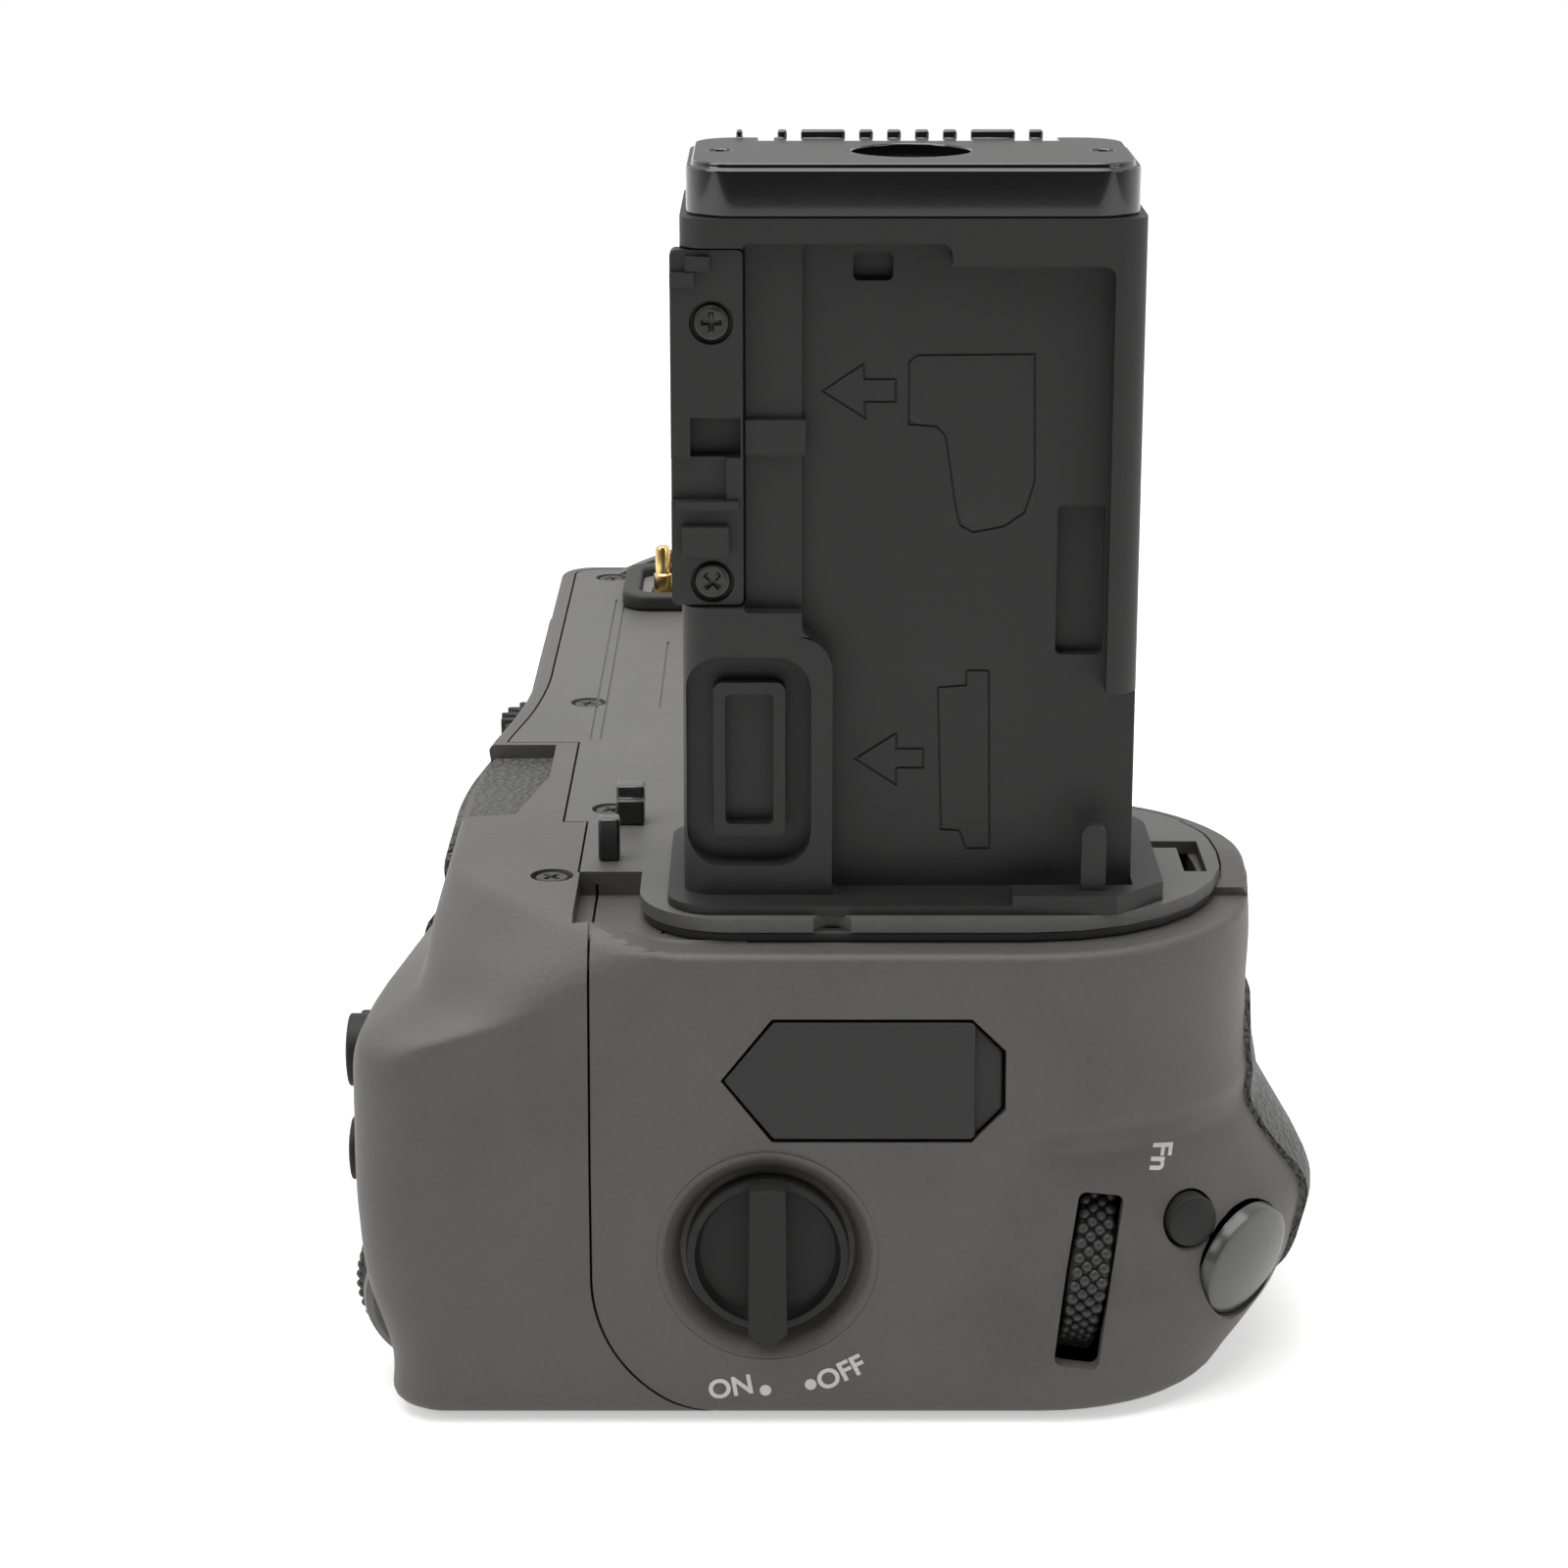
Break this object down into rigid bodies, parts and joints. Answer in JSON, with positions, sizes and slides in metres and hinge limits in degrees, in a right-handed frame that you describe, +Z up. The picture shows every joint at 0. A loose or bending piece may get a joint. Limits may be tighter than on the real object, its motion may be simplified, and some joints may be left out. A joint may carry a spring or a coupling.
{
  "type": "camera battery grip",
  "caption": "Vertical battery grip for a mirrorless camera: moulded body with shutter controls, a tower for the camera's battery bay and a slide-out battery magazine.",
  "frame": {"origin": "on the tripod socket's axis, in the plane that the grip stands on", "axes": "+X to the end with the shutter controls, +Y to the front of the camera, +Z up"},
  "size_m": [0.1414, 0.087, 0.1079],
  "materials": {
    "housing_paint": "fine textured satin paint",
    "black_plastic": "matte moulded",
    "gloss_black": "polished",
    "rubber": "grained",
    "steel": "turned",
    "gold_contact": "gold plated",
    "alloy": "cast",
    "circuit_board": "solder mask"
  },
  "bodies": {
    "grip_body": {"rear_cover": "housing_paint", "front_cover": "housing_paint", "deck_plate": "housing_paint", "rim_seal": "rubber", "base_plate": "black_plastic", "chassis": "alloy", "tripod_socket": "steel", "release_axle": "steel", "tower_shell": "black_plastic", "tower_cap": "gloss_black", "tower_contacts": "gold_contact", "door_clip": "black_plastic", "clip_screws": "steel", "connector_frame": "rubber", "connector_block": "alloy", "contact_pins": "gold_contact", "door_hooks": "black_plastic", "thumb_pad": "rubber", "thumb_inlay": "rubber", "grip_pad": "rubber", "deck_screws": "steel", "base_screws": "steel", "bay_contacts": "gold_contact", "main_board": "circuit_board", "switch_dish": "housing_paint", "switch_wafer": "circuit_board", "main_dial_axle": "steel", "main_dial_bracket": "alloy", "shutter_switch": "black_plastic", "function_switch": "black_plastic", "quick_dial_axle": "steel", "quick_dial_bracket": "alloy", "rear_board": "circuit_board", "rear_switches": "black_plastic", "stick_housing": "black_plastic", "side_cover_frame": "black_plastic"},
    "magazine": {"magazine_tray": "black_plastic", "magazine_cover": "housing_paint", "magazine_contacts": "gold_contact", "battery_rear": "black_plastic", "battery_front": "black_plastic"},
    "attachment_screw": {"attachment_screw": "steel"},
    "release_dial": {"release_dial": "black_plastic"},
    "power_switch": {"power_switch": "black_plastic"},
    "main_dial": {"main_dial": "rubber"},
    "quick_dial": {"quick_dial": "rubber"},
    "shutter_button": {"shutter_button": "gloss_black"},
    "function_button": {"function_button": "black_plastic"},
    "start_button": {"start_button": "black_plastic"},
    "lock_button": {"lock_button": "black_plastic"},
    "point_button": {"point_button": "black_plastic"},
    "stick_yoke": {"stick_yoke": "black_plastic"},
    "stick_cap": {"stick_cap": "rubber"},
    "side_cover": {"side_cover": "rubber"},
    "magazine_latch": {"magazine_latch": "black_plastic"}
  },
  "joints": [
    {"name": "camera_screw_turn", "type": "hinge", "parent": "grip_body", "child": "attachment_screw", "pos_m": [0, 0, 0.0442], "axis": [0, 0, 1], "continuous": true},
    {"name": "release_dial_turn", "type": "hinge", "parent": "grip_body", "child": "release_dial", "pos_m": [-0.0064, -0.01704, 0.0418], "axis": [0, 0, 1], "continuous": true},
    {"name": "power_switch_turn", "type": "hinge", "parent": "grip_body", "child": "power_switch", "pos_m": [0.07038, 0.0017, 0.0157], "axis": [1, 0, 0], "range_deg": [0, 18]},
    {"name": "main_dial_turn", "type": "hinge", "parent": "grip_body", "child": "main_dial", "pos_m": [0.05999, 0.0293, 0.0129], "axis": [0, 0.9912, -0.1323], "continuous": true},
    {"name": "quick_dial_turn", "type": "hinge", "parent": "grip_body", "child": "quick_dial", "pos_m": [0.0595, -0.0272, 0.0098], "axis": [1, 0, 0], "continuous": true},
    {"name": "shutter_press", "type": "slide", "parent": "grip_body", "child": "shutter_button", "axis": [-0.6769, -0.7009, 0.225], "range_m": [0, 0.0012], "stiffness_N_per_m": 400},
    {"name": "function_press", "type": "slide", "parent": "grip_body", "child": "function_button", "axis": [-0.9272, -0.3746, 0], "range_m": [0, 0.0006], "stiffness_N_per_m": 400},
    {"name": "start_press", "type": "slide", "parent": "grip_body", "child": "start_button", "axis": [0, 1, 0], "range_m": [0, 0.0006], "stiffness_N_per_m": 400},
    {"name": "lock_press", "type": "slide", "parent": "grip_body", "child": "lock_button", "axis": [0, 1, 0], "range_m": [0, 0.0006], "stiffness_N_per_m": 400},
    {"name": "point_press", "type": "slide", "parent": "grip_body", "child": "point_button", "axis": [0, 1, 0], "range_m": [0, 0.0006], "stiffness_N_per_m": 400},
    {"name": "stick_up_down", "type": "hinge", "parent": "grip_body", "child": "stick_yoke", "pos_m": [0.0384, -0.027, 0.021], "axis": [1, 0, 0], "range_deg": [-8, 8], "stiffness_Nm_per_rad": 0.05},
    {"name": "stick_left_right", "type": "hinge", "parent": "stick_yoke", "child": "stick_cap", "pos_m": [0.0384, -0.027, 0.021], "axis": [0, 0, 1], "range_deg": [-8, 8], "stiffness_Nm_per_rad": 0.05},
    {"name": "side_cover_swing", "type": "hinge", "parent": "grip_body", "child": "side_cover", "pos_m": [0.06928, -0.002, 0.0313], "axis": [0.1385, 0, -0.9904], "range_deg": [0, 100]},
    {"name": "magazine_slide", "type": "slide", "parent": "grip_body", "child": "magazine", "axis": [-1, 0, 0], "range_m": [0, 0.062]},
    {"name": "magazine_latch_turn", "type": "hinge", "parent": "magazine", "child": "magazine_latch", "pos_m": [-0.0692, 0, 0.0206], "axis": [1, 0, 0], "range_deg": [0, 90]}
  ],
  "couplings": [
    {"joint": "release_dial_turn", "follows": "camera_screw_turn", "ratio": -1.1667}
  ]
}
